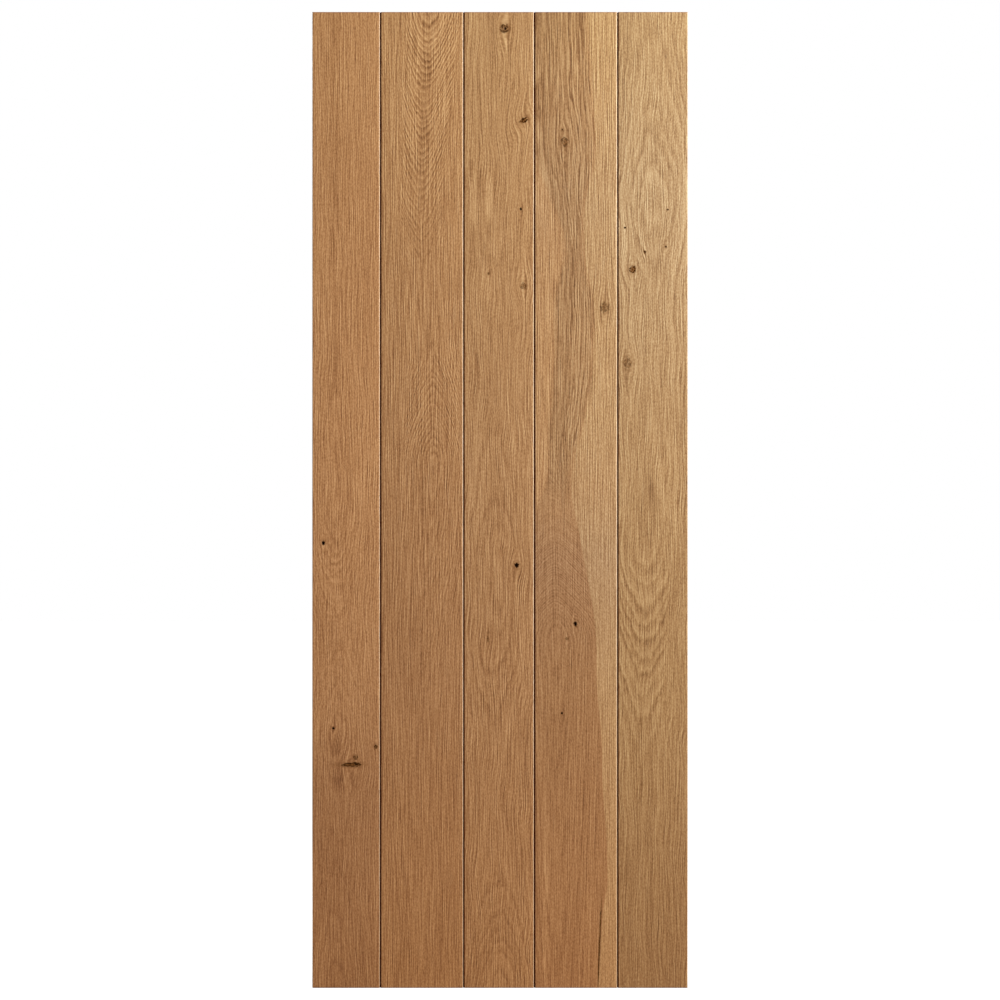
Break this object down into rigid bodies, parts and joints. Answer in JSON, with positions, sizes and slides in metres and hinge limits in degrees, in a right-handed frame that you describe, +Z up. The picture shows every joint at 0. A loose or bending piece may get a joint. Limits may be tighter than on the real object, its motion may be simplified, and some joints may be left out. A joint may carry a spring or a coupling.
{
  "type": "ledged door",
  "caption": "Oak ledged door leaf: tongued and grooved, V-jointed boards of mixed widths, screwed from behind to chamfered ledges, with oak plugs over the screws.",
  "frame": {"origin": "middle of the leaf's foot, in width and in overall thickness, on the floor side of the door", "axes": "+Z up the door, +X to the right as seen from the boarded face, +Y through the door from the boarded face to the ledges"},
  "size_m": [0.762, 0.04, 1.981],
  "materials": {
    "board_oak": "satin",
    "ledge_oak": "satin",
    "plug_oak": "satin",
    "screw_steel": "satin"
  },
  "bodies": {
    "root": {"left_edge_board": "board_oak", "left_wide_board": "board_oak", "middle_board": "board_oak", "right_wide_board": "board_oak", "right_edge_board": "board_oak", "top_ledge": "ledge_oak", "middle_ledge": "ledge_oak", "bottom_ledge": "ledge_oak", "ledge_screws": "screw_steel", "screw_plugs": "plug_oak"}
  },
  "joints": []
}
